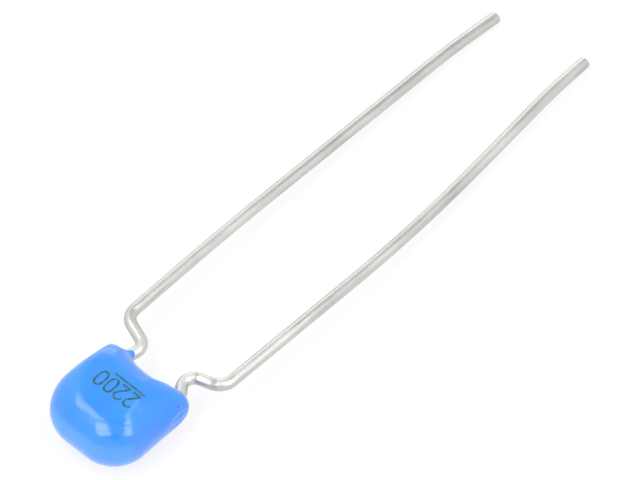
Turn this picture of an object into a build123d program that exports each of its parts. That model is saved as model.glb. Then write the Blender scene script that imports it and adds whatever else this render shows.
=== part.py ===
from build123d import *
from math import radians, sin, tan
import os

# A dipped radial-lead ceramic capacitor, lying on its flat side with the tips of its leads on the bench.
# Millimetres. X runs from the left lead to the right one, Y from the body to the tips, Z up.
# The origin is on the bench, under the middle of the chip.

# Chip, sizes over its end caps
chip_length = 2.00
chip_width = 1.25
chip_thickness = 0.85
chip_edge_radius = 0.08
cap_wall = 0.05
cap_band = 0.40

# Plates inside the chip
plate_count = 6
plate_thickness = 0.003
plate_pitch = 0.10
plate_end_margin = 0.35
plate_side_margin = 0.20

# Lead wire
wire_diameter = 0.50
tip_break = 0.05
spread_bend_radius = 1.00
neck_bend_radius = 0.60
kink_start_radius = 0.50
kink_end_radius = 0.70

# Solder between each lead and its cap
solder_film = 0.02
solder_rise = 0.30
solder_length = 0.90
solder_sag = 0.03

# Coat, as walls over the chip and the leads
coat_face_wall = 0.825
coat_side_wall = 0.68
coat_end_wall = 1.34
coat_neck_cover = 2.075
coat_corner_radius = 1.64
ear_base_drop = 1.04
ear_crest_drop = 0.13
saddle_depth = 0.41
# How far the ear's curve is held along its lines at the shoulder, the crest and the saddle
shoulder_rise_share = 0.92
shoulder_reach_share = 0.80
crest_hold_share = 0.86
saddle_hold_share = 0.62

# Flat on each side of the coat
flat_side_margin = 0.25
flat_end_margin = 0.225
flat_corner_radius = 0.70
flat_base_share = 0.47
flat_crest_share = 0.56

# How the coat rounds over from its rim to the flats, as powers of a rounded square
side_power = 2.0
ear_power = 1.5
level_angles = (-90, -82, -72, -60, -45, -30, -15, 0, 15, 30, 45, 60, 72, 82, 90)

# Collar of coat that climbs the left lead
collar_foot = 0.45
collar_foot_wall = 0.16
collar_lip = 0.02
collar_sag_share = 0.25
collar_length = 0.45

# Forming of the leads: the right one spreads past the chip, and both lean in where they leave the coat
neck_depth = 0.25
right_neck_spread = 0.26
left_neck_lean = 0.175
right_neck_lean = 0.47
formed_pitch = 5.08
forming_offset = -0.08
left_kink_start = 0.54
left_kink_end = 1.10
right_kink_start = 0.61
right_kink_end = 1.17
left_free_length = 21.87
right_free_length = 22.50
# Slight bends past the kink: shares of the free length and, in X, of the formed pitch
left_drift_shares = ((0.26, -0.020), (0.88, 0.0225), (1.0, 0.062))
right_drift_shares = ((0.50, 0.041), (0.90, -0.104), (1.0, -0.112))
bend_share = 0.45

# Sizes that follow
wire_radius = wire_diameter / 2
inner_pitch = chip_length + 2 * solder_film + wire_diameter
inner_x = inner_pitch / 2
exit_y = chip_width / 2 + coat_neck_cover
coat_thickness = chip_thickness + 2 * coat_face_wall
mid_z = coat_thickness / 2
coat_half_width = inner_x + wire_radius + coat_side_wall
coat_round_end = chip_width / 2 + coat_end_wall
flat_half_width = chip_length / 2 + flat_side_margin
flat_half_length = chip_width / 2 + flat_end_margin
ceramic_length = chip_length - 2 * cap_wall
ceramic_width = chip_width - 2 * cap_wall
ceramic_thickness = chip_thickness - 2 * cap_wall


def bend_radii(points, set_radii):
    """The radius at each corner of a lead: the set ones first, then as wide as the runs allow."""
    radii = list(set_radii)
    for number in range(len(radii) + 1, len(points) - 1):
        before = points[number] - points[number - 1]
        after = points[number + 1] - points[number]
        turn = radians(before.get_angle(after))
        radii.append(bend_share * min(before.length, after.length) / tan(turn / 2))
    return radii


def lead_points(side, spread, lean, kink_start, kink_end, free_length, drift_shares):
    """The corners of a lead's centre line, from chip to tip; side is -1 on the left and 1 on the right."""
    formed_x = forming_offset + side * formed_pitch / 2
    kink_y = exit_y + kink_end
    points = [
        Vector(side * inner_x, -solder_length / 2, mid_z),
        Vector(side * (inner_x + spread), exit_y - neck_depth, mid_z),
        Vector(side * (inner_x - lean), exit_y + kink_start, mid_z),
        Vector(formed_x, kink_y, mid_z),
    ]
    if spread:
        points.insert(1, Vector(side * inner_x, chip_width / 2, mid_z))
    for along, drift in drift_shares:
        level = mid_z + along * (wire_radius - mid_z)
        points.append(Vector(formed_x + drift * formed_pitch, kink_y + along * free_length, level))
    return points


def make_lead(points, set_radii):
    """A round wire carried along its centre line, with the edge of its cut tip broken."""
    path = FilletPolyline(*points, radius=bend_radii(points, set_radii))
    start = Plane(origin=points[0], z_dir=points[1] - points[0])
    wire = sweep(start * Circle(wire_radius), path=path)
    tip = wire.faces().sort_by_distance(points[-1])[0]
    return chamfer(tip.edges(), tip_break)


def make_envelope():
    """The chip with its caps, as one rounded block."""
    block = Pos(0, 0, mid_z) * Box(chip_length, chip_width, chip_thickness)
    return fillet(block.edges().filter_by(Axis.X), chip_edge_radius)


def make_ceramic_block():
    """The ceramic block before the plates are let into it."""
    return Pos(0, 0, mid_z) * Box(ceramic_length, ceramic_width, ceramic_thickness)


def make_plates(side):
    """The plates that reach one end of the chip: every second one of the stack."""
    length = ceramic_length - plate_end_margin
    width = ceramic_width - 2 * plate_side_margin
    plates = []
    for number in range(0 if side < 0 else 1, plate_count, 2):
        level = mid_z + (number - (plate_count - 1) / 2) * plate_pitch
        plate = Box(length, width, plate_thickness)
        plates.append(Pos(side * plate_end_margin / 2, 0, level) * plate)
    return plates


def make_cap(side, envelope, ceramic_block):
    """The metal cap over one end of the chip."""
    band = Box(cap_band, chip_width, chip_thickness)
    end = envelope & Pos(side * (chip_length - cap_band) / 2, 0, mid_z) * band
    return end - ceramic_block


def make_solder(side, lead):
    """The solder that fills the space between a lead and its cap and wets round the wire."""
    face_x = side * chip_length / 2
    wire_x = side * inner_x
    crest = wire_radius + solder_film
    sag_x = (face_x + wire_x) / 2
    sag_z = (solder_rise + crest) / 2 - solder_sag
    outline = [
        Line((face_x, -solder_rise), (face_x, solder_rise)),
        ThreePointArc((face_x, solder_rise), (sag_x, sag_z), (wire_x, crest)),
        ThreePointArc((wire_x, crest), (wire_x + side * crest, 0), (wire_x, -crest)),
        ThreePointArc((wire_x, -crest), (sag_x, -sag_z), (face_x, -solder_rise)),
    ]
    across = Plane(origin=(0, 0, mid_z), x_dir=(1, 0, 0), z_dir=(0, -1, 0))
    bead = extrude(across * make_face(outline), solder_length / 2, both=True)
    return bead - lead


def coat_size(rim, flat, share):
    """A size of the coat between its value on the flat, at share 0, and on the rim, at share 1."""
    return flat + (rim - flat) * share


def half_outline(height_share):
    """The right half of the coat's outline at one level; the share is 0 at the rim and 1 at a flat."""
    side_g = (1 - height_share ** side_power) ** (1 / side_power)
    ear_g = (1 - height_share ** ear_power) ** (1 / ear_power)
    half = coat_size(coat_half_width, flat_half_width, side_g)
    end = coat_size(coat_round_end, flat_half_length, side_g)
    corner = coat_size(coat_corner_radius, flat_corner_radius, side_g)
    base = coat_size(exit_y - ear_base_drop, flat_half_length * flat_base_share, side_g)
    crest_x = coat_size(inner_x, flat_half_width * flat_crest_share, ear_g)
    crest_y = coat_size(exit_y - ear_crest_drop, flat_half_length, ear_g)
    saddle = coat_size(exit_y - saddle_depth, flat_half_length, ear_g)
    rise = base + shoulder_rise_share * (crest_y - base)
    reach = crest_x + shoulder_reach_share * (half - crest_x)
    crest_hold = (crest_x * crest_hold_share, crest_y)
    saddle_hold = (crest_x * saddle_hold_share, saddle)
    return [
        Line((0, -end), (half - corner, -end)),
        JernArc((half - corner, -end), (1, 0), corner, 90),
        Line((half, corner - end), (half, base)),
        Bezier((half, base), (half, rise), (reach, crest_y), (crest_x, crest_y)),
        Bezier((crest_x, crest_y), crest_hold, saddle_hold, (0, saddle)),
    ]


def make_form():
    """The dipped body: outlines stacked from flat to flat, with a smooth skin through them."""
    levels = []
    for angle in level_angles:
        rise = sin(radians(angle))
        right = half_outline(abs(rise))
        left = [mirror(edge, about=Plane.YZ) for edge in right]
        levels.append(Pos(0, 0, mid_z + mid_z * rise) * make_face(right + left))
    return loft(levels)


def make_collar(points):
    """The coat that creeps up a lead: a hollow-sided cone about the wire where it leaves the body."""
    neck = points[1]
    along = (points[2] - points[1]).normalized()
    foot = neck_depth - collar_foot
    lip = foot + collar_length
    foot_radius = wire_radius + collar_foot_wall
    lip_radius = wire_radius + collar_lip
    sag_radius = lip_radius + collar_sag_share * (foot_radius - lip_radius)
    half_section = Plane(origin=neck, x_dir=(0, 0, 1), z_dir=Vector(0, 0, 1).cross(along))
    outline = [
        Polyline((lip_radius, lip), (0, lip), (0, foot), (foot_radius, foot)),
        ThreePointArc((foot_radius, foot), (sag_radius, (foot + lip) / 2), (lip_radius, lip)),
    ]
    return revolve(half_section * make_face(outline), Axis(neck, along), 360)


left_kink = (left_neck_lean, left_kink_start, left_kink_end)
right_kink = (right_neck_lean, right_kink_start, right_kink_end)
left_points = lead_points(-1, 0, *left_kink, left_free_length, left_drift_shares)
right_points = lead_points(1, right_neck_spread, *right_kink, right_free_length, right_drift_shares)
kink_radii = (neck_bend_radius, kink_start_radius, kink_end_radius)
left_lead = make_lead(left_points, kink_radii)
right_lead = make_lead(right_points, (spread_bend_radius,) + kink_radii)
envelope = make_envelope()
ceramic_block = make_ceramic_block()
left_plates = make_plates(-1)
right_plates = make_plates(1)
left_cap = make_cap(-1, envelope, ceramic_block)
right_cap = make_cap(1, envelope, ceramic_block)
left_solder = make_solder(-1, left_lead)
right_solder = make_solder(1, right_lead)
coat = make_form()
coat += make_collar(left_points)
for held in (ceramic_block, left_cap, right_cap, left_solder, right_solder, left_lead, right_lead):
    coat -= held
chip = ceramic_block
for plate in left_plates + right_plates:
    chip -= plate

pieces = {
    "epoxy_coating": coat,
    "ceramic_chip": chip,
    "left_electrodes": Compound(left_plates),
    "right_electrodes": Compound(right_plates),
    "left_termination": left_cap,
    "right_termination": right_cap,
    "left_solder": left_solder,
    "right_solder": right_solder,
    "left_lead": left_lead,
    "right_lead": right_lead,
}
os.makedirs("parts", exist_ok=True)
for name, shape in pieces.items():
    export_step(shape, f"parts/{name}.step")
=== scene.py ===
"""Looks of a dipped radial-lead ceramic capacitor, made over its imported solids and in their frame.

Metres. X runs from the left lead to the right one, Y from the body to the tips of the leads, Z up.
The object lies on the plane Z = 0, and the origin is under the middle of its chip.
"""

import logging
import math
from dataclasses import dataclass
from enum import Enum

import bpy
import numpy as np
from mathutils import Matrix, Vector


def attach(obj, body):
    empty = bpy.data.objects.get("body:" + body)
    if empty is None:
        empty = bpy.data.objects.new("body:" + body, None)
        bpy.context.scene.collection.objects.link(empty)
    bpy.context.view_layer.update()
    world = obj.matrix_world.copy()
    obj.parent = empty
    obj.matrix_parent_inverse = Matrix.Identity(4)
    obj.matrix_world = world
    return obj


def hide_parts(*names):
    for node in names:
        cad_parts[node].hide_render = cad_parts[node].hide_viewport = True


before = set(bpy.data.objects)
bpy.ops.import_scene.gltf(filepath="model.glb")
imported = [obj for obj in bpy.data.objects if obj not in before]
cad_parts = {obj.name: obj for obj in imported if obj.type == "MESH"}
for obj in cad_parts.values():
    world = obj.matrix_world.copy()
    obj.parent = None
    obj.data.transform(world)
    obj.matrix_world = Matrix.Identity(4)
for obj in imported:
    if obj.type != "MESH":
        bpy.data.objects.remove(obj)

MM = 0.001
TINY = 1e-12
BODY = "root"
LEAD_X = 1.27 * MM
EXIT_Y = 2.70 * MM
MID_Z = 1.25 * MM
LAMP_HEIGHT = 60 * MM
NOISE_SPAN = (0.3, 0.7)
WHITE = (1.0, 1.0, 1.0, 1.0)
SURFACE = "ShaderNodeBsdfPrincipled"
log = logging.getLogger("capacitor")

Colour = tuple[float, float, float, float]
Point = tuple[float, float, float]
Pair = tuple[float, float]
Socket = bpy.types.NodeSocket
Piece = bpy.types.Object


class Side(Enum):
    """The two sides of the object, seen from above with the leads pointing away."""

    LEFT = -1
    RIGHT = 1


class Hang(Enum):
    """How a lamp is hung: level over the bench, or standing and turned to the object."""

    LEVEL = 0
    STANDING = 1


class Numeral(Enum):
    """The numerals of the mark, each with the method of ValueMark that draws it."""

    TWO = "two"
    ZERO = "zero"


def mm(*lengths: float) -> tuple[float, ...]:
    """Gives lengths in millimetres as metres."""
    return tuple(length * MM for length in lengths)


def unit(vectors: np.ndarray) -> np.ndarray:
    """Scales each vector of an array to a length of one."""
    return vectors / np.maximum(np.linalg.norm(vectors, axis=-1, keepdims=True), TINY)


def between(rim: float, flat: float, share: np.ndarray) -> np.ndarray:
    """A size that goes in a straight line from its value on the flat to that on the rim."""
    return flat + (rim - flat) * share


def bell(points: np.ndarray, middle: Point, reach: float, power: int) -> np.ndarray:
    """A bell about a point: exp(-(distance / reach)^power)."""
    return np.exp(-(np.linalg.norm(points - np.array(middle), axis=-1) / reach) ** power)


def tube_faces(rows: int, columns: int) -> tuple[np.ndarray, np.ndarray]:
    """Joins the points of a grid that is closed round its columns and shut by a pole at each end.

    Each quad takes two neighbours of one row and the same two of the next. The two points after the
    grid's own are the poles, and a fan of triangles joins each to its row.

    Args:
        rows: Number of rows of the grid.
        columns: Number of points in a row.

    Returns:
        The quads and the triangles, as arrays of point numbers.
    """
    ring = np.arange(columns)
    onward = (ring + 1) % columns
    near = np.arange(rows - 1)[:, None] * columns
    far = near + columns
    quads = np.stack((near + ring, near + onward, far + onward, far + ring), -1).reshape(-1, 4)
    last = (rows - 1) * columns
    first_pole = np.full(columns, rows * columns)
    first_fan = np.stack((first_pole, onward, ring), -1)
    last_fan = np.stack((first_pole + 1, last + ring, last + onward), -1)
    return quads, np.concatenate((first_fan, last_fan))


def make_piece(name: str, points: np.ndarray, quads: np.ndarray, triangles: np.ndarray) -> Piece:
    """Puts whole arrays of points and faces into a new smooth mesh object at the origin.

    Args:
        name: Name of the piece.
        points: Points in metres, one a row.
        quads: Point numbers of the faces with four corners.
        triangles: Point numbers of the faces with three corners.

    Returns:
        The new object, linked to the scene.
    """
    mesh = bpy.data.meshes.new(name)
    corners = np.concatenate((quads.ravel(), triangles.ravel())).astype(np.int32)
    totals = np.concatenate((np.full(len(quads), 4), np.full(len(triangles), 3))).astype(np.int32)
    starts = np.concatenate(((0,), np.cumsum(totals)[:-1])).astype(np.int32)
    mesh.vertices.add(len(points))
    mesh.vertices.foreach_set("co", points.astype(np.float32).ravel())
    mesh.loops.add(len(corners))
    mesh.loops.foreach_set("vertex_index", corners)
    mesh.polygons.add(len(totals))
    mesh.polygons.foreach_set("loop_start", starts)
    mesh.polygons.foreach_set("loop_total", totals)
    mesh.polygons.foreach_set("use_smooth", np.ones(len(totals), bool))
    mesh.update(calc_edges=True)
    mesh.validate()
    piece = bpy.data.objects.new(name, mesh)
    bpy.context.scene.collection.objects.link(piece)
    return piece


def add_values(piece: Piece, name: str, values: np.ndarray) -> None:
    """Keeps one number, or one vector, a point on a piece for its material to read.

    Args:
        piece: The mesh object.
        name: Name of the attribute.
        values: One row a point, with one or three numbers.
    """
    kind, key = ("FLOAT", "value") if values.ndim == 1 else ("FLOAT_VECTOR", "vector")
    kept = piece.data.attributes.new(name, kind, "POINT")
    kept.data.foreach_set(key, values.astype(np.float32).ravel())


class NodeGraph:
    """The nodes of a material or of the sky, with short calls that add and join them."""

    def __init__(self, owner: bpy.types.Material | bpy.types.World, output: str) -> None:
        """Empties the node tree of its owner.

        Args:
            owner: The material or the sky.
            output: Kind of its output node.
        """
        owner.use_nodes = True
        self.tree = owner.node_tree
        self.tree.nodes.clear()
        self.output = self.tree.nodes.new(output)

    def add(self, kind: str, inputs: dict[str | int, object], **settings: object) -> bpy.types.Node:
        """Adds a node.

        Args:
            kind: Kind of the node.
            inputs: For each input, by name or number, the output to join to it or the value to set on it.
            settings: The node's own settings by name.

        Returns:
            The node.
        """
        node = self.tree.nodes.new(kind)
        for key, value in settings.items():
            setattr(node, key, value)
        for key, value in inputs.items():
            if isinstance(value, Socket):
                self.tree.links.new(value, node.inputs[key])
            else:
                node.inputs[key].default_value = value
        return node

    def place(self) -> Socket:
        """Gives the Object coordinates, which are metres in the frame."""
        return self.add("ShaderNodeTexCoord", {}).outputs["Object"]

    def value(self, name: str, output: str = "Fac") -> Socket:
        """Reads an attribute kept on the mesh."""
        kept = self.add("ShaderNodeAttribute", {}, attribute_type="GEOMETRY", attribute_name=name)
        return kept.outputs[output]

    def maths(self, operation: str, *numbers: Socket | float) -> Socket:
        """Works out one number from others."""
        return self.add("ShaderNodeMath", dict(enumerate(numbers)), operation=operation).outputs[0]

    def stretch(self, source: Socket, scale: Point) -> Socket:
        """Scales a place along its three axes."""
        return self.add("ShaderNodeMapping", {"Vector": source, "Scale": scale}).outputs["Vector"]

    def noise(self, source: Socket, scale: float = 1.0, detail: float = 3.0) -> Socket:
        """Soft noise from 0 to 1: scale gives its waves a unit of the place, detail its finer octaves."""
        waves = {"Vector": source, "Scale": scale, "Detail": detail}
        return self.add("ShaderNodeTexNoise", waves).outputs["Fac"]

    def span(self, source: Socket, given: Pair, wanted: Pair) -> Socket:
        """Carries one range of numbers onto another and holds it there."""
        ends = zip(("Value", "From Min", "From Max", "To Min", "To Max"), (source, *given, *wanted))
        return self.add("ShaderNodeMapRange", dict(ends), clamp=True).outputs["Result"]

    def ramp(self, source: Socket, places: tuple[float, ...], *colours: Colour) -> Socket:
        """Turns a number into a colour.

        Args:
            source: The number, from 0 to 1.
            places: Places along the ramp.
            colours: The colour at each place.

        Returns:
            The colour.
        """
        node = self.add("ShaderNodeValToRGB", {"Fac": source})
        elements = node.color_ramp.elements
        elements[0].position, elements[0].color = places[0], colours[0]
        elements[1].position, elements[1].color = places[-1], colours[-1]
        for place, colour in zip(places[1:-1], colours[1:-1]):
            elements.new(place).color = colour
        return node.outputs["Color"]

    def blend(self, share: Socket, first: Socket, second: Colour) -> Socket:
        """Lays a second colour over a first by a share from 0 to 1."""
        return self.add("ShaderNodeMix", {0: share, 6: first, 7: second}, data_type="RGBA").outputs[2]

    def bump(self, height: Socket, depth: float, strength: float = 1.0) -> Socket:
        """Turns a height from 0 to 1, with the depth of 1 in metres, into a bent normal."""
        bent = {"Height": height, "Distance": depth, "Strength": strength}
        return self.add("ShaderNodeBump", bent).outputs["Normal"]

    def seen(self, share: float) -> Socket:
        """Tells the rays that see a thing from those that only light others.

        Args:
            share: What camera, glossy and transmission rays get; all others get 0.

        Returns:
            The share for a ray.
        """
        path = self.add("ShaderNodeLightPath", {})
        most = path.outputs["Is Camera Ray"]
        for other in ("Is Glossy Ray", "Is Transmission Ray"):
            most = self.maths("MAXIMUM", most, path.outputs[other])
        return self.maths("MULTIPLY", most, share)

    def mix(self, share: Socket, first: bpy.types.Node, second: bpy.types.Node) -> bpy.types.Node:
        """Mixes two shaders by a share from 0 to 1."""
        return self.add("ShaderNodeMixShader", {0: share, 1: first.outputs[0], 2: second.outputs[0]})

    def show(self, shader: bpy.types.Node) -> None:
        """Joins a shader to the output."""
        self.tree.links.new(shader.outputs[0], self.output.inputs["Surface"])


def new_material(name: str) -> tuple[bpy.types.Material, NodeGraph]:
    """Starts an empty material, and gives it with its nodes."""
    material = bpy.data.materials.new(name)
    return material, NodeGraph(material, "ShaderNodeOutputMaterial")


@dataclass(frozen=True)
class EpoxyFinish:
    """Glossy blue dipped epoxy: slightly cloudy colour, a rippled skin, a few pale specks and dark pits."""

    name: str = "blue_epoxy_gloss"
    deep: Colour = (0.029, 0.246, 0.880, 1.0)
    clear: Colour = (0.043, 0.288, 0.930, 1.0)
    gloss: Colour = (1.0, 0.90, 1.0, 1.0)
    # pale is a painted reflection: a lighter blue laid low on the round end where the coat mirrors the
    # bright floor in front.
    pale: Colour = (0.072, 0.335, 0.950, 1.0)
    speck: Colour = (0.420, 0.600, 0.930, 1.0)
    pit: Colour = (0.010, 0.060, 0.220, 1.0)
    ior: float = 1.58
    rough: Pair = (0.10, 0.17)
    sheen: float = 0.34
    sheen_rough: float = 0.40
    sheen_tint: Colour = (0.90, 0.86, 1.0, 1.0)
    cloud_scale: float = 520.0
    grain_scale: float = 14000.0
    grain_detail: float = 2.0
    grain_depth: float = 0.0012 * MM
    ripple_scale: float = 1500.0
    ripple_detail: float = 1.0
    ripple_depth: float = 0.010 * MM

    def material(self) -> bpy.types.Material:
        """Builds the epoxy.

        Cloud noise sets the blue, attributes of the mesh lay on a paler blue painted low on the round end
        as a painted reflection of the bright floor in front, specks and pits, and a ripple with a share of
        finer grain bends the skin.

        Returns:
            The material.
        """
        material, graph = new_material(self.name)
        place = graph.place()
        colour = graph.ramp(graph.noise(place, self.cloud_scale), NOISE_SPAN, self.deep, self.clear)
        # The pale share paints a reflection of the bright floor in front onto the round end.
        for name, cover in (("pale", self.pale), ("speck", self.speck), ("pit", self.pit)):
            colour = graph.blend(graph.value(name), colour, cover)
        grain = graph.noise(place, self.grain_scale, self.grain_detail)
        ripple = graph.noise(place, self.ripple_scale, self.ripple_detail)
        height = graph.maths("MULTIPLY_ADD", grain, self.grain_depth / self.ripple_depth, ripple)
        graph.show(graph.add(SURFACE, {
            "Base Color": colour, "Roughness": graph.span(grain, NOISE_SPAN, self.rough),
            "Normal": graph.bump(height, self.ripple_depth), "IOR": self.ior, "Specular Tint": self.gloss,
            "Sheen Weight": self.sheen, "Sheen Roughness": self.sheen_rough,
            "Sheen Tint": self.sheen_tint}))
        return material


@dataclass(frozen=True)
class TinnedFinish:
    """Satin tin on drawn wire: long die lines, dull patches and scratches that follow the wire."""

    name: str = "tinned_wire_satin"
    dull: Colour = (0.475, 0.480, 0.465, 1.0)
    plain: Colour = (0.615, 0.617, 0.595, 1.0)
    bright: Colour = (0.725, 0.725, 0.700, 1.0)
    edge: Colour = (0.680, 0.680, 0.660, 1.0)
    scratch: Colour = (0.340, 0.345, 0.340, 1.0)
    stain: Colour = (0.200, 0.205, 0.200, 1.0)
    tones: tuple[float, ...] = (0.25, 0.50, 0.78)
    rough: Pair = (0.32, 0.46)
    line_scale: Point = (5200.0, 5200.0, 90.0)
    line_detail: float = 4.0
    line_share: float = 0.6
    line_depth: float = 0.003 * MM
    line_strength: float = 0.8
    patch_scale: Point = (1500.0, 1500.0, 300.0)
    patch_span: Pair = (0.25, 0.75)
    patch_share: float = 0.4
    scratch_scale: Point = (12000.0, 12000.0, 500.0)
    scratch_detail: float = 2.0
    scratch_span: Pair = (0.66, 0.74)
    scratch_share: float = 0.7

    def material(self) -> bpy.types.Material:
        """Builds the tin from noise that is read along the unbent wire, so that its lines follow the bends.

        Returns:
            The material.
        """
        material, graph = new_material(self.name)
        lay = graph.value("lay", "Vector")
        lines = graph.noise(graph.stretch(lay, self.line_scale), detail=self.line_detail)
        patches = graph.noise(graph.stretch(lay, self.patch_scale))
        marks = graph.noise(graph.stretch(lay, self.scratch_scale), detail=self.scratch_detail)
        patchy = graph.span(patches, self.patch_span, (0.0, self.patch_share))
        tone = graph.maths("MULTIPLY_ADD", lines, self.line_share, patchy)
        tin = graph.ramp(tone, self.tones, self.dull, self.plain, self.bright)
        worn = graph.span(marks, self.scratch_span, (0.0, self.scratch_share))
        stained = graph.blend(graph.value("stain"), graph.blend(worn, tin, self.scratch), self.stain)
        graph.show(graph.add(SURFACE, {
            "Base Color": stained, "Roughness": graph.span(patches, NOISE_SPAN, self.rough),
            "Normal": graph.bump(lines, self.line_depth, self.line_strength),
            "Metallic": 1.0, "Specular Tint": self.edge}))
        return material


@dataclass(frozen=True)
class InkFinish:
    """Dark printing ink on the coat, thin where the stamp let go."""

    name: str = "mark_ink"
    thick: Colour = (0.016, 0.095, 0.100, 1.0)
    thin: Colour = (0.025, 0.190, 0.300, 1.0)
    ior: float = 1.45
    rough: Pair = (0.25, 0.45)
    patch_scale: float = 6000.0
    patch_span: Pair = (0.40, 0.72)

    def material(self) -> bpy.types.Material:
        """Builds the ink: noise takes it from thick to thin and roughens it.

        Returns:
            The material.
        """
        material, graph = new_material(self.name)
        patch = graph.noise(graph.place(), self.patch_scale)
        graph.show(graph.add(SURFACE, {
            "Base Color": graph.ramp(patch, self.patch_span, self.thick, self.thin),
            "Roughness": graph.span(patch, NOISE_SPAN, self.rough), "IOR": self.ior}))
        return material


@dataclass(frozen=True)
class GrainFinish:
    """A matt or metallic body with a fine grain, for the pieces inside the coat."""

    name: str
    low: Colour
    high: Colour
    metallic: float
    rough: Pair
    grain_scale: float
    grain_depth: float
    grain_detail: float = 5.0
    grain_strength: float = 0.7

    def material(self) -> bpy.types.Material:
        """Builds the finish: one noise sets its colour, its roughness and its grain.

        Returns:
            The material.
        """
        material, graph = new_material(self.name)
        grain = graph.noise(graph.place(), self.grain_scale, self.grain_detail)
        graph.show(graph.add(SURFACE, {
            "Base Color": graph.ramp(grain, NOISE_SPAN, self.low, self.high),
            "Roughness": graph.span(grain, NOISE_SPAN, self.rough), "Metallic": self.metallic,
            "Normal": graph.bump(grain, self.grain_depth, self.grain_strength)}))
        return material


FIRED_CERAMIC = GrainFinish("fired_ceramic", (0.40, 0.31, 0.22, 1.0), (0.50, 0.40, 0.29, 1.0), 0.0,
                            (0.55, 0.75), 16000.0, 0.004 * MM)
PLATE_NICKEL = GrainFinish("plate_nickel", (0.46, 0.44, 0.41, 1.0), (0.58, 0.56, 0.52, 1.0), 1.0,
                           (0.35, 0.50), 22000.0, 0.001 * MM)
CAP_TIN = GrainFinish("cap_tin", (0.56, 0.56, 0.55, 1.0), (0.68, 0.68, 0.67, 1.0), 1.0,
                      (0.38, 0.55), 12000.0, 0.003 * MM)
SOLDER_SHINE = GrainFinish("solder_shine", (0.58, 0.58, 0.57, 1.0), (0.72, 0.72, 0.70, 1.0), 1.0,
                           (0.18, 0.34), 7000.0, 0.004 * MM)


@dataclass(frozen=True)
class CardFinish:
    """Matt grey card, faintly mottled, that fades out towards its edges."""

    name: str = "grey_card"
    low: Colour = (0.09, 0.09, 0.09, 1.0)
    high: Colour = (0.13, 0.13, 0.13, 1.0)
    rough: float = 0.9
    mottle_scale: float = 80.0

    def material(self) -> bpy.types.Material:
        """Builds the card: broad noise between two greys, seen as far as its "cover" attribute says.

        Returns:
            The material.
        """
        material, graph = new_material(self.name)
        mottle = graph.noise(graph.place(), self.mottle_scale)
        grey = graph.ramp(mottle, NOISE_SPAN, self.low, self.high)
        matt = graph.add(SURFACE, {"Base Color": grey, "Roughness": self.rough})
        graph.show(graph.mix(graph.value("cover"), graph.add("ShaderNodeBsdfTransparent", {}), matt))
        return material


@dataclass(frozen=True)
class FloorFinish:
    """A pale matt floor that is white to the eye and in reflections, and keeps a soft shadow."""

    name: str = "pale_floor"
    pale: Colour = (0.96, 0.96, 0.96, 1.0)
    white: Colour = WHITE
    white_share: float = 0.80

    def material(self) -> bpy.types.Material:
        """Builds the floor: matt to the light it throws back, part white where it is seen or mirrored.

        Returns:
            The material.
        """
        material, graph = new_material(self.name)
        matt = graph.add("ShaderNodeBsdfDiffuse", {"Color": self.pale})
        glow = graph.add("ShaderNodeEmission", {"Color": self.white})
        graph.show(graph.mix(graph.seen(self.white_share), matt, glow))
        return material


@dataclass(frozen=True)
class Swell:
    """A soft rise or hollow of the coat about a point."""

    at: Point
    reach: float
    rise: float


@dataclass(frozen=True)
class Dot:
    """A small round spot in the coat: where it is, how wide, and how deep it goes."""

    at: Point
    radius: float
    depth: float


@dataclass(frozen=True)
class Meniscus:
    """How far the coat creeps up a lead: all round, and as a tongue at an angle from its upper side."""

    climb: float
    tongue: float
    heading: float
    spread: float


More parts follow.
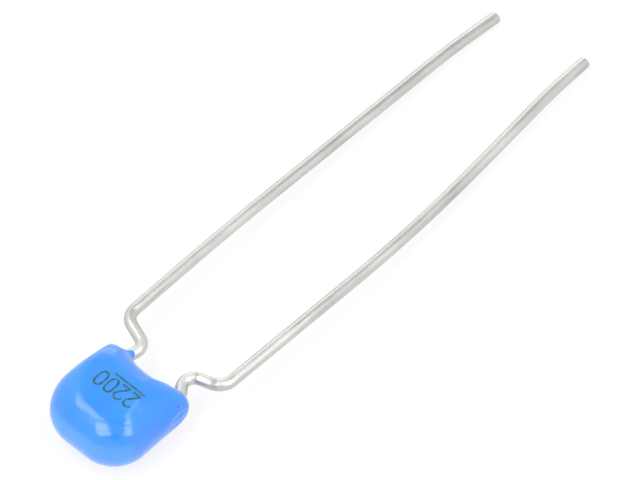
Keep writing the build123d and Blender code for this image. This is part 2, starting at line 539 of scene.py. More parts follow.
@dataclass
class DippedCoat:
    """The blue coat: a pillow flat on both sides, with two ears on the leads and a saddle between them."""

    left_lead: "FormedLead"
    right_lead: "FormedLead"
    half_width: float = 2.20 * MM
    round_end: float = 1.965 * MM
    corner: float = 1.64 * MM
    lead_x: float = LEAD_X
    exit_y: float = EXIT_Y
    ear_base_drop: float = 1.04 * MM
    ear_crest_drop: float = 0.25 * MM
    saddle_depth: float = 0.545 * MM
    mid_z: float = MID_Z
    flat_half_width: float = 1.25 * MM
    flat_half_length: float = 0.85 * MM
    flat_corner: float = 0.98 * MM
    flat_base_share: float = 0.47
    flat_crest_share: float = 0.56
    flat_skew: Pair = (0.30, 0.15)
    left_skew_share: float = 0.5
    flat_shift: float = 0.16 * MM
    shoulder_rise_share: float = 0.92
    shoulder_reach_share: float = 0.80
    crest_hold_share: float = 0.86
    saddle_hold_share: float = 0.62
    side_power: float = 2.0
    ear_power: float = 2.3
    levels: int = 121
    flat_rings: int = 16
    outline_steps: tuple[int, ...] = (12, 34, 26, 64, 64)
    upper_share: float = 1.6
    # These place the painted reflection of the bright floor, low on the round end.
    reflection_slant: float = 0.25
    reflection_start: float = 1.1 * MM
    reflection_run: float = 0.4 * MM
    reflection_height: float = 2.05 * MM
    reflection_fall: float = 0.25 * MM
    swell_power: int = 2
    dot_power: int = 4
    left_meniscus: Meniscus = Meniscus(0.10 * MM, 0.17 * MM, 20.0, 0.12 * MM)
    right_meniscus: Meniscus = Meniscus(0.08 * MM, 0.04 * MM, 0.0, 0.12 * MM)
    swells: tuple[Swell, ...] = (
        Swell(mm(2.0, 1.8, 1.3), 0.8 * MM, 0.060 * MM),
        Swell(mm(-1.90, 1.75, 1.95), 0.75 * MM, -0.170 * MM),
        Swell(mm(-2.1, -0.2, 1.7), 1.0 * MM, 0.060 * MM),
        Swell(mm(-1.4, -1.6, 1.4), 0.8 * MM, 0.025 * MM),
        Swell(mm(0.95, 2.45, 1.25), 0.50 * MM, -0.110 * MM),
        Swell(mm(0.85, 2.15, 1.90), 0.55 * MM, -0.045 * MM),
        Swell(mm(0.1, 0.3, 2.5), 1.3 * MM, 0.020 * MM),
    )
    specks: tuple[Dot, ...] = (
        Dot(mm(-0.27, -1.89, 1.34), 0.035 * MM, 0.004 * MM),
        Dot(mm(-0.02, -1.88, 1.35), 0.028 * MM, 0.003 * MM),
        Dot(mm(0.29, -1.83, 1.66), 0.032 * MM, 0.004 * MM),
        Dot(mm(0.09, -1.51, 2.21), 0.022 * MM, 0.003 * MM),
        Dot(mm(-0.12, -1.74, 1.90), 0.024 * MM, 0.003 * MM),
        Dot(mm(1.85, -0.70, 0.60), 0.030 * MM, 0.004 * MM),
        Dot(mm(-1.95, 0.60, 0.80), 0.030 * MM, 0.004 * MM),
    )
    pits: tuple[Dot, ...] = (
        Dot(mm(2.06, 1.73, 1.84), 0.045 * MM, 0.030 * MM),
        Dot(mm(-0.60, 1.55, 0.25), 0.040 * MM, 0.025 * MM),
    )
    finish: EpoxyFinish = EpoxyFinish()

    def outline(self, side_share: np.ndarray, ear_share: np.ndarray) -> np.ndarray:
        """Outlines of the coat, one for each level.

        The right half is a straight run, a quarter circle, a straight flank, a cubic curve over the
        shoulder to the crest of the ear and one from there to the middle of the saddle. The left half
        is its mirror image.

        Args:
            side_share: How far each level is from flat to rim at the sides, from 0 to 1.
            ear_share: The same for the ears.

        Returns:
            X and Y of each point, by level and place round the outline.
        """
        side, ear = side_share[:, None], ear_share[:, None]
        half = between(self.half_width, self.flat_half_width, side)
        end = between(self.round_end, self.flat_half_length, side)
        corner = between(self.corner, self.flat_corner, side)
        base = between(self.exit_y - self.ear_base_drop, self.flat_half_length * self.flat_base_share, side)
        crest_x = between(self.lead_x, self.flat_half_width * self.flat_crest_share, ear)
        crest_y = between(self.exit_y - self.ear_crest_drop, self.flat_half_length, ear)
        saddle = between(self.exit_y - self.saddle_depth, self.flat_half_length, ear)
        rise = base + self.shoulder_rise_share * (crest_y - base)
        reach = crest_x + self.shoulder_reach_share * (half - crest_x)

        def run(count: int) -> np.ndarray:
            """Steps from 0 up to, but not with, 1."""
            return np.linspace(0.0, 1.0, count, endpoint=False)[None, :]

        def cubic(t: np.ndarray, *held: np.ndarray) -> np.ndarray:
            """The cubic curve with four control values."""
            weights = ((1 - t) ** 3, 3 * t * (1 - t) ** 2, 3 * t ** 2 * (1 - t), t ** 3)
            return sum(weight * value for weight, value in zip(weights, held))

        foot, turn, flank, over, dip = (run(count) for count in self.outline_steps)
        angle = (turn - 1) * math.pi / 2
        crest_hold, saddle_hold = crest_x * self.crest_hold_share, crest_x * self.saddle_hold_share
        xs = ((half - corner) * foot,
              half - corner + corner * np.cos(angle),
              half + 0 * flank,
              cubic(over, half, half, reach, crest_x),
              cubic(dip, crest_x, crest_hold, saddle_hold, 0 * half))
        ys = (-end + 0 * foot,
              corner - end + corner * np.sin(angle),
              (corner - end) * (1 - flank) + base * flank,
              cubic(over, base, rise, crest_y, crest_y),
              cubic(dip, crest_y, crest_y, saddle, saddle))
        right = np.stack((np.concatenate(xs, 1), np.concatenate(ys, 1)), -1)
        middle = np.stack((0 * saddle, saddle), -1)
        left = right[:, :0:-1] * np.array((-1.0, 1.0))
        return np.concatenate((right, middle, left), 1)

    def pillow(self) -> tuple[np.ndarray, np.ndarray]:
        """The plain form as a grid of levels and places round the outline.

        Level by level the height goes as the sine of an angle from -90 to 90 degrees, and the outline
        goes from flat to rim as a rounded square: share = (1 - |sine|^power)^(1/power). Towards the
        upper flat it is skewed, x less a part of y, by a smaller share on the left, and y less a part
        of x, and moved to the left. Rows that shrink evenly to a pole fill the two flats.

        Returns:
            The grid of points, and the two poles.
        """
        angle = np.radians(np.linspace(-90.0, 90.0, self.levels))
        level = np.abs(np.sin(angle))
        side_share, ear_share = (np.maximum(1 - level ** power, 0) ** (1 / power)
                                 for power in (self.side_power, self.ear_power))
        outline = self.outline(side_share, ear_share)
        height = (self.mid_z * (1 + np.sin(angle)))[:, None, None]
        moved = ((1 - side_share) * (angle > 0))[:, None, None]
        side = outline[..., :1] / np.abs(outline[..., :1]).max(1, keepdims=True)
        lean = (1 + self.left_skew_share) / 2 + (1 - self.left_skew_share) / 2 * side
        skew = np.concatenate((self.flat_skew[0] * lean, self.flat_skew[1] + 0 * side), -1)
        shift = np.array((self.flat_shift, 0.0))
        skewed = outline - moved * (skew * outline[..., ::-1] + shift)
        wall = np.concatenate((skewed, height + 0 * side), -1)
        shrink = np.linspace(1.0, 0.0, self.flat_rings)[1:-1][:, None, None]
        under = wall[:1] * np.concatenate((shrink, shrink, 0 * shrink), -1)[::-1]
        upper = wall[-1:] * np.concatenate((shrink, shrink, 0 * shrink + 1), -1)
        poles = np.array(((0, 0, 0), (0, 0, 2 * self.mid_z)))
        return np.concatenate((under, wall, upper)), poles

    def normals(self, grid: np.ndarray) -> np.ndarray:
        """Outward directions on a closed grid, from the cross product of its two slopes.

        Args:
            grid: The skin.

        Returns:
            One direction a point.
        """
        round_slope = np.roll(grid, -1, 1) - np.roll(grid, 1, 1)
        level_slope = np.gradient(grid, axis=0)
        return unit(np.cross(round_slope, level_slope))

    def swollen(self, grid: np.ndarray) -> np.ndarray:
        """Moves the skin out and in: each swell adds its rise, and each dot its dip, times a bell about it.

        Args:
            grid: The skin.

        Returns:
            The new grid.
        """
        move = np.zeros(grid.shape[:2])
        for swell in self.swells:
            move += swell.rise * bell(grid, swell.at, swell.reach, self.swell_power)
        for dot in self.specks + self.pits:
            move -= dot.depth * bell(grid, dot.at, dot.radius, self.swell_power)
        return grid + self.normals(grid) * move[..., None]

    def climbed(self, grid: np.ndarray, lead: "FormedLead", meniscus: Meniscus) -> np.ndarray:
        """Draws the ear up its lead.

        A point past the flat moves along the lead by its climb times exp(-(gap / spread)). The gap is its
        distance from the skin of a straight wire that runs through the lead's neck, on and back. The
        climb is the one all round plus the tongue times the cosine, squared, of the angle from the
        tongue's heading, where that cosine is above 0.

        Args:
            grid: The skin.
            lead: The lead.
            meniscus: How the coat creeps there.

        Returns:
            The new grid.
        """
        neck, way = lead.neck()
        spoke = grid - neck
        across = spoke @ np.cross(way, np.array((0.0, 0.0, 1.0)))
        above = spoke[..., 2]
        turn = np.arctan2(across, above) - math.radians(meniscus.heading)
        climb = meniscus.climb + meniscus.tongue * np.maximum(np.cos(turn), 0) ** 2
        gap = np.maximum(np.hypot(across, above) - lead.wire_radius, 0)
        near = np.exp(-gap / meniscus.spread) * (grid[..., 1] > self.flat_half_length)
        return grid + (climb * near)[..., None] * way

    def skin(self) -> tuple[np.ndarray, np.ndarray]:
        """The finished skin: the pillow, swollen and then drawn up both leads.

        Returns:
            The grid of the coat and its two poles.
        """
        grid, poles = self.pillow()
        grid = self.swollen(grid)
        grid = self.climbed(grid, self.left_lead, self.left_meniscus)
        grid = self.climbed(grid, self.right_lead, self.right_meniscus)
        poles[:, 2] = grid[[0, -1], :, 2].mean(1)
        return grid, poles

    def dots(self, points: np.ndarray, dots: tuple[Dot, ...]) -> np.ndarray:
        """How much of a dot covers each point, by a steep bell: 1 in its middle, and 0 past its edge."""
        return np.max([bell(points, dot.at, dot.radius, self.dot_power) for dot in dots], axis=0)

    def painted_reflection(self, points: np.ndarray) -> np.ndarray:
        """How pale the coat is painted low on its round end, a painted reflection of the bright floor in
        front.

        The share rises from 0 to 1 over the reflection run, as a slant of x less y passes the
        reflection start, times another that rises from 0 to 1 over the reflection fall, down from the
        reflection height.

        Args:
            points: Points of the skin.

        Returns:
            The share of painted reflection at each, from 0 to 1.
        """
        slant = points[:, 0] * self.reflection_slant - points[:, 1]
        outward = np.clip((slant - self.reflection_start) / self.reflection_run, 0, 1)
        downward = np.clip((self.reflection_height - points[:, 2]) / self.reflection_fall, 0, 1)
        return outward * downward

    def top(self, x: np.ndarray, y: np.ndarray) -> np.ndarray:
        """Height of the upper skin, from the nearest point of its grid.

        From that point, with its outward direction n, the height falls by (nx dx + ny dy) / nz.

        Args:
            x: Places across.
            y: Places along.

        Returns:
            The heights.
        """
        grid, _ = self.skin()
        upper = grid[..., 2] > self.upper_share * self.mid_z
        spots, ways = grid[upper], self.normals(grid)[upper]
        nearest = np.hypot(x[..., None] - spots[:, 0], y[..., None] - spots[:, 1]).argmin(-1)
        spot, way = spots[nearest], ways[nearest]
        fall = (way[..., 0] * (x - spot[..., 0]) + way[..., 1] * (y - spot[..., 1])) / way[..., 2]
        return spot[..., 2] - fall

    def build(self) -> Piece:
        """Builds and dresses the coat in place of its solid.

        Returns:
            The coat.
        """
        grid, poles = self.skin()
        points = np.concatenate((grid.reshape(-1, 3), poles))
        piece = make_piece("coat_skin", points, *tube_faces(*grid.shape[:2]))
        # The pale attribute holds the painted reflection of the bright floor, low on the round end.
        add_values(piece, "pale", self.painted_reflection(points))
        add_values(piece, "speck", self.dots(points, self.specks))
        add_values(piece, "pit", self.dots(points, self.pits))
        piece.data.materials.append(self.finish.material())
        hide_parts("epoxy_coating")
        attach(piece, BODY)
        return piece


@dataclass(frozen=True)
class ToolMark:
    """A dent in a lead: its place along it, and in degrees round it, its size and its stain."""

    along: float
    around: float
    length: float
    width: float
    depth: float
    stain: float = 0.0


@dataclass
class FormedLead:
    """A round tinned wire, kinked outward past the coat and left slightly bent towards its cut tip."""

    name: str
    side: Side
    spread: float
    lean: float
    kink_start: float
    kink_end: float
    free_length: float
    drift_shares: tuple[Pair, ...]
    marks: tuple[ToolMark, ...]
    wire_radius: float = 0.25 * MM
    tip_break: float = 0.05 * MM
    tip_shares: tuple[float, ...] = (0.66, 0.33, 0.0)
    lead_x: float = LEAD_X
    exit_y: float = EXIT_Y
    mid_z: float = MID_Z
    held_length: float = 0.45 * MM
    chip_end: float = 0.625 * MM
    neck_depth: float = 0.25 * MM
    spread_radius: float = 1.00 * MM
    neck_radius: float = 0.60 * MM
    kink_start_radius: float = 0.50 * MM
    kink_end_radius: float = 0.70 * MM
    formed_pitch: float = 5.08 * MM
    forming_offset: float = -0.08 * MM
    bend_share: float = 0.45
    bend_steps: int = 40
    step: float = 0.035 * MM
    lay_shift: float = 31 * MM
    columns: int = 48
    sharp_angle: float = 40.0
    finish: TinnedFinish = TinnedFinish()

    def corners(self) -> np.ndarray:
        """The corners of the centre line.

        Returns:
            The corners, from the chip to the tip.
        """
        sign = self.side.value
        formed_x = self.forming_offset + sign * self.formed_pitch / 2
        kink_y = self.exit_y + self.kink_end
        fixed = [
            (sign * self.lead_x, -self.held_length, self.mid_z),
            (sign * (self.lead_x + self.spread), self.exit_y - self.neck_depth, self.mid_z),
            (sign * (self.lead_x - self.lean), self.exit_y + self.kink_start, self.mid_z),
            (formed_x, kink_y, self.mid_z),
        ]
        if self.spread:
            fixed.insert(1, (sign * self.lead_x, self.chip_end, self.mid_z))
        along, drift = np.array(self.drift_shares).T
        free = np.stack((formed_x + drift * self.formed_pitch, kink_y + along * self.free_length,
                         self.mid_z + along * (self.wire_radius - self.mid_z)), -1)
        return np.concatenate((np.array(fixed), free))

    def neck(self) -> tuple[np.ndarray, np.ndarray]:
        """Where the lead turns to leave the coat.

        Returns:
            The corner there, and the direction from it to the start of the kink.
        """
        free = len(self.drift_shares)
        start, end = self.corners()[-free - 3:-free - 1]
        return start, unit(end - start)

    def route(self) -> np.ndarray:
        """The centre line with its corners rounded.

        At a corner with turn A and radius R the arc starts R tan(A/2) before it; a point at angle a
        along it lies R sin(a) on and R (1 - cos(a)) to the inside.

        Returns:
            Points along the line.
        """
        points = self.corners()
        runs = np.diff(points, axis=0)
        lengths = np.linalg.norm(runs, axis=-1)
        ways = unit(runs)
        turns = np.arccos(np.clip((ways[:-1] * ways[1:]).sum(-1), -1, 1))
        radii = self.bend_share * np.minimum(lengths[:-1], lengths[1:]) / np.tan(turns / 2)
        formed = (self.spread_radius, self.neck_radius, self.kink_start_radius, self.kink_end_radius)
        formed = formed if self.spread else formed[1:]
        radii[:len(formed)] = formed
        line = [points[:1]]
        for corner, way, onward, turn, radius in zip(points[1:-1], ways[:-1], ways[1:], turns, radii):
            inside = unit(onward - (onward * way).sum() * way)
            angle = np.linspace(0, turn, self.bend_steps)[:, None]
            start = corner - way * radius * math.tan(turn / 2)
            line.append(start + radius * (np.sin(angle) * way + (1 - np.cos(angle)) * inside))
        line.append(points[-1:])
        return np.concatenate(line)

    def stations(self) -> tuple[np.ndarray, np.ndarray, np.ndarray]:
        """Even steps along the route, with the tip's own.

        Returns:
            Distances along the route, the points there and the directions of the wire.
        """
        line = self.route()
        run = np.concatenate(((0.0,), np.cumsum(np.linalg.norm(np.diff(line, axis=0), axis=-1))))
        whole = run[-1]
        even = np.linspace(0, whole - self.tip_break, int((whole - self.tip_break) / self.step))
        along = np.concatenate((even, whole - self.tip_break * np.array(self.tip_shares)))
        points = np.stack([np.interp(along, run, line[:, axis]) for axis in range(3)], -1)
        return along, points, unit(np.gradient(points, along, axis=0))

    def worked(self, along: np.ndarray, around: np.ndarray) -> tuple[np.ndarray, np.ndarray]:
        """Radius of the wire and its stain.

        The radius is the wire's own, less a rounded break at the tip and, for each tool mark, its depth
        times exp(-(far along / length)^2 - (far round / width)^2). The stain is the mark's own times the
        same bell.

        Args:
            along: Distances along the wire, one a row.
            around: Angles round it, one a column.

        Returns:
            The radius and the stain at each point of the grid.
        """
        into_tip = np.clip(1 - (along[-1] - along) / self.tip_break, 0, 1)
        rounding = self.tip_break * (1 - np.sqrt(1 - into_tip ** 2))
        radius = (self.wire_radius - rounding)[:, None] + 0 * around
        stain = np.zeros(radius.shape)
        for mark in self.marks:
            turn = np.angle(np.exp(1j * (around - math.radians(mark.around)))) * self.wire_radius
            far = ((along - mark.along) / mark.length)[:, None] ** 2 + (turn / mark.width) ** 2
            radius = radius - mark.depth * np.exp(-far)
            stain = np.maximum(stain, mark.stain * np.exp(-far))
        return radius, stain

    def build(self) -> Piece:
        """Builds and dresses the wire in place of its solid.

        A circle is carried along the route: at angle a from the upper side a point lies the radius times
        cos(a) up and sin(a) across. Its "lay" is the same place on the wire laid out straight.

        Returns:
            The wire.
        """
        along, points, ways = self.stations()
        around = np.linspace(0, 2 * math.pi, self.columns, endpoint=False)[None, :]
        across = unit(np.cross(ways, np.array((0.0, 0.0, 1.0))))
        upper = np.cross(across, ways)
        radius, stain = self.worked(along, around)
        spoke = np.cos(around)[..., None] * upper[:, None] + np.sin(around)[..., None] * across[:, None]
        grid = points[:, None] + radius[..., None] * spoke
        far = along + (1 + self.side.value) * self.lay_shift
        lay = np.stack((radius * np.cos(around), radius * np.sin(around), far[:, None] + 0 * around), -1)
        ends = np.array(((0.0, 0.0, far[0]), (0.0, 0.0, far[-1])))
        skin = np.concatenate((grid.reshape(-1, 3), points[[0, -1]]))
        piece = make_piece(self.name + "_wire", skin, *tube_faces(*grid.shape[:2]))
        piece.data.set_sharp_from_angle(angle=math.radians(self.sharp_angle))
        add_values(piece, "lay", np.concatenate((lay.reshape(-1, 3), ends)))
        add_values(piece, "stain", np.concatenate((stain.ravel(), (0.0, 0.0))))
        piece.data.materials.append(self.finish.material())
        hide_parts(self.name)
        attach(piece, BODY)
        return piece


@dataclass
class ValueMark:
    """Plain numerals over a bar, printed on the upper face and read with the leads pointing down."""

    coat: DippedCoat
    numerals: tuple[Numeral, ...] = (Numeral.TWO, Numeral.TWO, Numeral.ZERO, Numeral.ZERO)
    centre_x: float = 0.05 * MM
    centre_y: float = 0.36 * MM
    height: float = 0.70 * MM
    width: float = 0.36 * MM
    advance: float = 0.52 * MM
    zero_power: float = 0.8
    zero_steps: int = 49
    two_sweep: Pair = (165.0, -35.0)
    arc_steps: int = 26
    line_steps: int = 14
    bar_length: float = 1.50 * MM
    bar_shift: float = -0.26 * MM
    bar_gap: float = 0.17 * MM
    bar_steps: int = 40
    stroke: float = 0.095 * MM
    cap_share: float = 0.35
    cap_taper: float = 0.45
    profile_steps: int = 12
    thickness: float = 0.006 * MM
    sunk: float = 0.004 * MM
    finish: InkFinish = InkFinish()

    def zero(self) -> np.ndarray:
        """A nought: x = w cos(t), y = h sin(t), each drawn out towards its corners by a power.

        Returns:
            Points along the stroke.
        """
        t = np.linspace(0, 2 * math.pi, self.zero_steps)
        x, y = (np.sign(wave(t)) * np.abs(wave(t)) ** self.zero_power for wave in (np.cos, np.sin))
        return np.stack((x * self.width / 2, y * self.height / 2), -1)

    def two(self) -> np.ndarray:
        """A two: an arc over the top, a slant to the foot and a straight foot.

        Returns:
            Points along the stroke.
        """
        radius = self.width / 2
        t = np.radians(np.linspace(*self.two_sweep, self.arc_steps))
        arc = np.stack((radius * np.cos(t), self.height / 2 - radius + radius * np.sin(t)), -1)
        foot = np.array(((-radius, -self.height / 2), (radius, -self.height / 2)))
        share = np.linspace(0, 1, self.line_steps)[1:, None]
        slant = arc[-1] + (foot[0] - arc[-1]) * share
        flat = foot[0] + (foot[1] - foot[0]) * share
        return np.concatenate((arc, slant, flat))

    def bar(self) -> np.ndarray:
        """A straight line across."""
        x = np.linspace(-self.bar_length / 2, self.bar_length / 2, self.bar_steps)
        return np.stack((x, 0 * x), -1)

    def ribbon(self, line: np.ndarray) -> np.ndarray:
        """Carries a low arched profile along a line drawn flat, and lays it on the coat.

        Across the stroke, at angle a from one edge to the other and back underneath, the offset is half
        the stroke times cos(a) and the height the thickness times sin(a). The first and last rows are
        drawn in to round the ends.

        Args:
            line: Points of the stroke, in the mark's own directions.

        Returns:
            The grid of points on the object.
        """
        way = unit(np.gradient(line, axis=0))
        aside = np.stack((-way[:, 1], way[:, 0]), -1)
        cap = way * self.stroke * self.cap_share
        line = np.concatenate((line[:1] - cap[:1], line, line[-1:] + cap[-1:]))
        aside = np.concatenate((aside[:1], aside, aside[-1:]))
        taper = np.ones(len(line))
        taper[[0, -1]] = self.cap_taper
        angle = np.linspace(0, 2 * math.pi, self.profile_steps, endpoint=False)
        offset = taper[:, None] * np.cos(angle) * self.stroke / 2
        flat = line[:, None] + offset[..., None] * aside[:, None]
        x, y = self.centre_x - flat[..., 0], self.centre_y - flat[..., 1]
        rise = np.where(np.sin(angle) > 0, self.thickness, self.sunk) * np.sin(angle)
        return np.stack((x, y, self.coat.top(x, y) + rise), -1)

    def build(self) -> Piece:
        """Builds all strokes as one piece of ink.

        Returns:
            The mark.
        """
        middle = (len(self.numerals) - 1) / 2
        lines = [getattr(self, numeral.value)() + np.array(((number - middle) * self.advance, 0.0))
                 for number, numeral in enumerate(self.numerals)]
        lines.append(self.bar() + np.array((self.bar_shift, -self.height / 2 - self.bar_gap)))
        points, quads, triangles, total = [], [], [], 0
        for line in lines:
            grid = self.ribbon(line)
            four, three = tube_faces(*grid.shape[:2])
            points.append(np.concatenate((grid.reshape(-1, 3), grid[[0, -1]].mean(1))))
            quads.append(four + total)
            triangles.append(three + total)
            total += len(points[-1])
        piece = make_piece("value_mark", *(np.concatenate(part) for part in (points, quads, triangles)))
        piece.data.materials.append(self.finish.material())
        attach(piece, BODY)
        return piece


@dataclass
class SealedChip:
    """The pieces inside the coat, which keep their solids and get their finishes."""

    finishes: tuple[tuple[str, GrainFinish], ...] = (
        ("ceramic_chip", FIRED_CERAMIC),
        ("left_electrodes", PLATE_NICKEL),
        ("right_electrodes", PLATE_NICKEL),
        ("left_termination", CAP_TIN),
        ("right_termination", CAP_TIN),
        ("left_solder", SOLDER_SHINE),
        ("right_solder", SOLDER_SHINE),
    )

    def dress(self) -> list[Piece]:
        """Gives each solid its finish, made once and shared.

        Returns:
            The solids.
        """
        made = {finish.name: finish.material() for finish in {kept for _, kept in self.finishes}}
        dressed = []
        for node, finish in self.finishes:
            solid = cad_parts[node]
            for slot in solid.material_slots:
                slot.material = made[finish.name]
            dressed.append(solid)
        return dressed


@dataclass(frozen=True)
class SoftLamp:
    """A soft lamp, given by the middles of its two ends and its width."""

    name: str
    start: Point
    end: Point
    width: float
    radiance: float
    hang: Hang = Hang.LEVEL

    def build(self) -> Piece:
        """Hangs the lamp between its ends; its power is radiance times pi times its area.

        Returns:
            The lamp.
        """
        start, end = Vector(self.start), Vector(self.end)
        lamp = bpy.data.lights.new(self.name, "AREA")
        lamp.shape = "RECTANGLE"
        lamp.size, lamp.size_y = (end - start).length, self.width
        lamp.energy = self.radiance * math.pi * lamp.size * lamp.size_y
        along = (end - start).normalized()
        away = Vector((0.0, 0.0, 1.0)) if self.hang is Hang.LEVEL else (start + end) / 2
        away = (away - along * away.dot(along)).normalized()
        turn = Matrix((along, away.cross(along), away)).transposed().to_4x4()
        holder = bpy.data.objects.new(self.name, lamp)
        holder.matrix_world = Matrix.Translation((start + end) / 2) @ turn
        bpy.context.scene.collection.objects.link(holder)
        return holder


def pane(group: str, *strips: tuple[float, ...]) -> tuple[SoftLamp, ...]:
    """Level lamps side by side at one height, which the coat mirrors as one pane of a window.

    Args:
        group: Name that the lamps share before their numbers.
        strips: For each lamp X and Y of one end, X and Y of the other and its width, in millimetres,
            and then its radiance.

    Returns:
        The lamps.
    """
    lamps = []
    for number, (x, y, end_x, end_y, width, radiance) in enumerate(strips):
        start, end = (*mm(x, y), LAMP_HEIGHT), (*mm(end_x, end_y), LAMP_HEIGHT)
        lamps.append(SoftLamp(f"{group}_{number}", start, end, width * MM, radiance))
    return tuple(lamps)


@dataclass(frozen=True)
class Card:
    """A grey card: its middle, half its width and length, and how much its middle covers."""

    middle: Point
    half: Pair
    cover: float


@dataclass
class Studio:
    """A pale floor under an even white sky, with soft lamps and grey cards overhead."""

    floor_half: float = 900 * MM
    floor_drop: float = 0.02 * MM
    sheet_steps: int = 25
    sky_fill: float = 0.49
    sky_white: float = 1.0
    lamps: tuple[SoftLamp, ...] = (
        *pane("left_upper",
              (-46.4, -4.1, -42.2, 3.9, 4.0, 1.6),
              (-44.2, -9.7, -32.2, 13.3, 5.0, 2.4),
              (-41.3, -15.8, -24.2, 17.0, 6.0, 3.4),
              (-35.4, -17.7, -21.1, 9.8, 6.0, 3.8)),
        *pane("left_lower",
              (-29.3, -26.5, -14.1, 2.8, 4.0, 4.0),
              (-30.7, -41.6, -10.2, -2.3, 7.5, 4.0),
              (-26.0, -55.8, -2.9, -11.3, 14.0, 4.0),
              (-17.0, -82.9, 11.2, -28.6, 27.0, 4.0)),
        *pane("right_upper",
              (-18.0, 27.2, 2.0, 28.2, 4.5, 4.0),
              (1.3, 20.9, 17.4, 31.0, 8.0, 4.0),
              (10.1, 18.2, 28.8, 29.8, 6.0, 4.0)),
        *pane("right_lower",
              (21.8, 10.1, 48.8, 27.0, 12.0, 4.0),
              (36.7, 2.8, 76.1, 27.4, 16.0, 4.0),
              (55.8, -6.5, 110.1, 27.5, 20.0, 4.0)),
        SoftLamp("back_window", mm(-173, 100, 48), mm(-94, 177, 48), 95 * MM, 1.2, Hang.STANDING),
    )
    cards: tuple[Card, ...] = (
        Card(mm(-10, 21, 70), mm(40, 36), 1.0),
        Card(mm(50, -50, 70), mm(68, 62), 1.0),
        Card(mm(-8, 68, 72), mm(52, 42), 0.35),
    )
    finish: FloorFinish = FloorFinish()
    card_finish: CardFinish = CardFinish()

    def sheet(self, name: str, middle: Point, half: Pair, cover: float = 1.0) -> Piece:
        """Lays a flat grid of points x = a, y = b about a middle, as a thing of the studio.

        With u and v from -1 to 1 across it, its "cover" is the middle's times (1 - u^2) (1 - v^2).

        Args:
            name: Name of the sheet.
            middle: Its middle.
            half: Half its width and half its length.
            cover: Cover of its middle.

        Returns:
            The sheet, facing up.
        """
        count = self.sheet_steps
        u, v = np.meshgrid(np.linspace(-1.0, 1.0, count), np.linspace(-1.0, 1.0, count), indexing="xy")
        points = np.stack((u * half[0], v * half[1], 0 * u), -1).reshape(-1, 3) + np.array(middle)
        steps = np.arange(count - 1)
        first = (steps[:, None] * count + steps).ravel()
        quads = np.stack((first, first + 1, first + count + 1, first + count), -1)
        sheet = make_piece(name, points, quads, np.zeros((0, 3), int))
        add_values(sheet, "cover", (cover * (1 - u ** 2) * (1 - v ** 2)).ravel())
        return sheet

    def floor(self) -> Piece:
        """Lays the floor just under the object.

        Returns:
            The floor.
        """
        floor = self.sheet("bench_floor", (0.0, 0.0, -self.floor_drop), (self.floor_half, self.floor_half))
        floor.data.materials.append(self.finish.material())
        return floor

    def hang_cards(self) -> list[Piece]:
        """Hangs grey cards that only mirror: they are out of sight, light nothing and cast no shadow.

        Returns:
            The cards.
        """
        material = self.card_finish.material()
        hung = []
        for number, plan in enumerate(self.cards):
            card = self.sheet(f"grey_card_{number}", plan.middle, plan.half, plan.cover)
            card.data.materials.append(material)
            card.visible_camera = card.visible_diffuse = card.visible_shadow = False
            hung.append(card)
        return hung

    def sky(self) -> None:
        """Lights the object evenly, and is white where it is seen or mirrored."""
        world = bpy.data.worlds.new("white_sky")
        graph = NodeGraph(world, "ShaderNodeOutputWorld")
        fill, white = (graph.add("ShaderNodeBackground", {"Color": WHITE, "Strength": strength})
                       for strength in (self.sky_fill, self.sky_white))
        graph.show(graph.mix(graph.seen(1.0), fill, white))
        bpy.context.scene.world = world

    def build(self) -> list[Piece]:
        """Builds the sky, the floor, the cards and the lamps, and returns what stands in the scene."""
        self.sky()
        return [self.floor()] + self.hang_cards() + [lamp.build() for lamp in self.lamps]


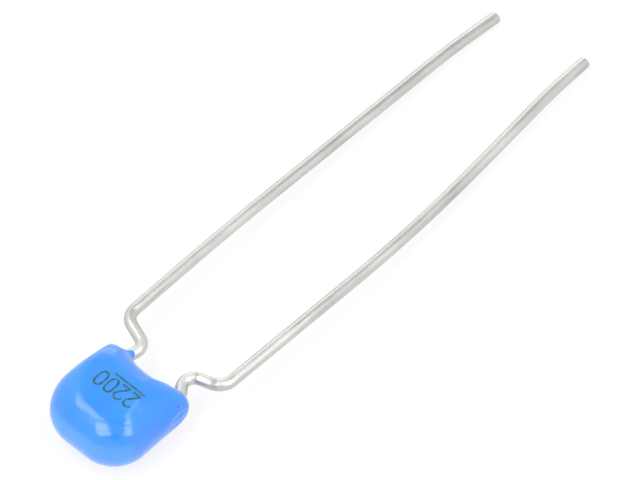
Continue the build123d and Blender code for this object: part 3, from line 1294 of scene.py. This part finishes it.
@dataclass
class PhotoCamera:
    """The camera at the photograph's angle: far off, so that lines hardly converge."""

    azimuth: float = 42.9
    elevation: float = 55.1
    distance: float = 220 * MM
    pixels_per_mm: float = 25.67
    image: tuple[int, int] = (640, 480)
    anchor: Point = (0.0, EXIT_Y, MID_Z)
    anchor_pixel: Pair = (156.4, 370.6)
    sensor: float = 36.0
    clip: Pair = (10 * MM, 10000 * MM)

    def build(self) -> Piece:
        """Sets the camera so that the anchor, midway between the lead exits, falls on its pixel.

        Returns:
            The camera object, which the scene uses.
        """
        turn, tilt = math.radians(self.azimuth), math.radians(self.elevation)
        right = Vector((math.cos(turn), math.sin(turn), 0.0))
        back = Vector((math.sin(turn) * math.cos(tilt), -math.cos(turn) * math.cos(tilt), math.sin(tilt)))
        upward = back.cross(right)
        focal = self.pixels_per_mm * self.distance / MM
        shift_right = self.image[0] / 2 - self.anchor_pixel[0]
        shift_up = self.anchor_pixel[1] - self.image[1] / 2
        look = (right * shift_right + upward * shift_up - back * focal).normalized()
        level = (right - look * right.dot(look)).normalized()
        axes = Matrix((level, level.cross(look), -look)).transposed().to_4x4()
        data = bpy.data.cameras.new("photo_camera")
        data.sensor_width = self.sensor
        data.lens = focal * self.sensor / self.image[0]
        data.clip_start, data.clip_end = self.clip
        camera = bpy.data.objects.new("photo_camera", data)
        camera.matrix_world = Matrix.Translation(Vector(self.anchor) + back * self.distance) @ axes
        bpy.context.scene.collection.objects.link(camera)
        bpy.context.scene.camera = camera
        return camera


LEFT_LEAD = FormedLead(
    "left_lead", Side.LEFT, spread=0.0, lean=0.175 * MM, kink_start=0.54 * MM, kink_end=1.10 * MM,
    free_length=21.87 * MM, drift_shares=((0.26, -0.020), (0.88, 0.0225), (1.0, 0.062)),
    marks=(
        ToolMark(4.05 * MM, 60.0, 0.20 * MM, 0.09 * MM, 0.018 * MM),
        ToolMark(5.30 * MM, 20.0, 0.25 * MM, 0.10 * MM, 0.015 * MM),
        ToolMark(11.0 * MM, 40.0, 0.45 * MM, 0.06 * MM, 0.008 * MM),
    ),
)
RIGHT_LEAD = FormedLead(
    "right_lead", Side.RIGHT, spread=0.26 * MM, lean=0.47 * MM, kink_start=0.61 * MM, kink_end=1.17 * MM,
    free_length=22.50 * MM, drift_shares=((0.50, 0.041), (0.90, -0.104), (1.0, -0.112)),
    marks=(
        ToolMark(4.14 * MM, 25.0, 0.09 * MM, 0.30 * MM, 0.018 * MM, 0.55),
        ToolMark(4.91 * MM, 25.0, 0.13 * MM, 0.25 * MM, 0.026 * MM, 0.60),
        ToolMark(5.55 * MM, 350.0, 0.30 * MM, 0.08 * MM, 0.016 * MM, 0.3),
    ),
)


def main() -> None:
    """Builds the camera, the object's pieces and the studio in order."""
    logging.basicConfig(level=logging.INFO, format="%(name)s: %(message)s")
    bpy.context.scene.view_settings.view_transform = "Standard"
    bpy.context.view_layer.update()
    PhotoCamera().build()
    coat = DippedCoat(LEFT_LEAD, RIGHT_LEAD)
    made = [coat.build(), LEFT_LEAD.build(), RIGHT_LEAD.build(), ValueMark(coat).build()]
    for piece in made:
        log.info("%s: %d faces", piece.name, len(piece.data.polygons))
    for solid in SealedChip().dress():
        log.info("%s: keeps its solid", solid.name)
    for thing in Studio().build():
        log.info("%s: in the studio", thing.name)


if __name__ == "__main__":
    main()
